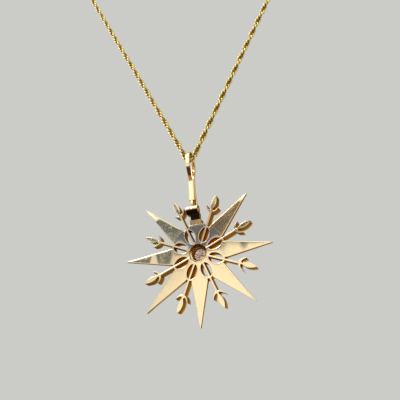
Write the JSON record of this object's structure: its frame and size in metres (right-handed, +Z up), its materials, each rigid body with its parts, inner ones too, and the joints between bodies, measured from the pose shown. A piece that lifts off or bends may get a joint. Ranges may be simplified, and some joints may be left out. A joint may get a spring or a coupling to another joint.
{
  "type": "starburst pendant with a centre diamond, on a rope chain",
  "caption": "Gold starburst pendant with spear rays, slim buds, a pierced centre and a diamond, hinged to a long bail on a whole rope chain.",
  "frame": {"origin": "the nape of the wearer's neck, in the middle of the clasp at the back of the chain loop", "axes": "+Z up. The pendant hangs at the -Y side with its reverse, the side shown in the picture, facing -Y. +X is to the right seen from that side."},
  "size_m": [0.1126, 0.0998, 0.1789],
  "materials": {
    "polished_gold": "polished yellow gold, lightly scratched",
    "chain_gold": "bright yellow gold wire",
    "diamond": "cut and polished stone"
  },
  "bodies": {
    "necklace": {"chain": "chain_gold", "clasp": "chain_gold"},
    "bail_body": {"bail": "polished_gold"},
    "star_body": {"star": "polished_gold", "centre_diamond": "diamond", "hinge_pin": "polished_gold"}
  },
  "joints": [
    {"name": "bail_swing", "type": "hinge", "parent": "necklace", "child": "bail_body", "pos_m": [0, -0.09533, -0.14179], "axis": [1, 0, 0], "range_deg": [-60, 60]},
    {"name": "star_swing", "type": "hinge", "parent": "bail_body", "child": "star_body", "pos_m": [0, -0.09533, -0.15334], "axis": [1, 0, 0], "range_deg": [-45, 45]}
  ]
}
